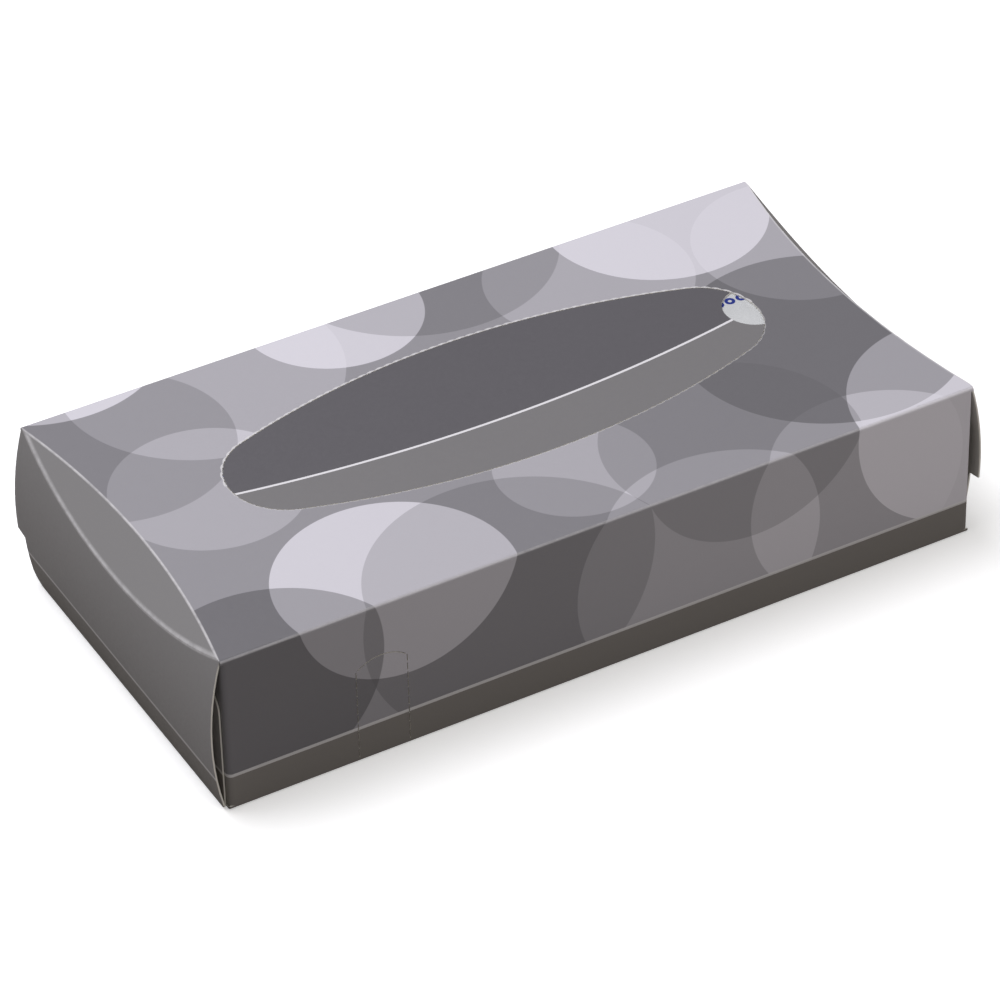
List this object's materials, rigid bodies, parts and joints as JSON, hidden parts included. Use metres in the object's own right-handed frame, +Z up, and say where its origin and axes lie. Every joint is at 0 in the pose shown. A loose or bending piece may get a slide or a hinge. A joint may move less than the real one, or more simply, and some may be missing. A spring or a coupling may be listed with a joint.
{
  "type": "tissue box",
  "caption": "Flat folded paperboard box of facial tissues, with a perforated oval opening in the top and bowed glued end flaps.",
  "frame": {"origin": "middle of the base, on the surface the box stands on", "axes": "+X along the length to the right as the front is seen, +Y from the front panel to the back panel, +Z up through the oval"},
  "size_m": [0.2378, 0.1186, 0.0495],
  "materials": {
    "printed_board": "printed grey, satin coated",
    "film": "thin translucent film",
    "tissue": "soft white tissue",
    "glue": "dried cream adhesive"
  },
  "bodies": {
    "root": {"carton": "printed_board", "window_film": "film", "tissue_stack": "tissue", "side_seam_glue": "glue", "film_glue": "glue", "left_end_glue": "glue", "right_end_glue": "glue", "left_flap_glue": "glue", "right_flap_glue": "glue"}
  },
  "joints": []
}
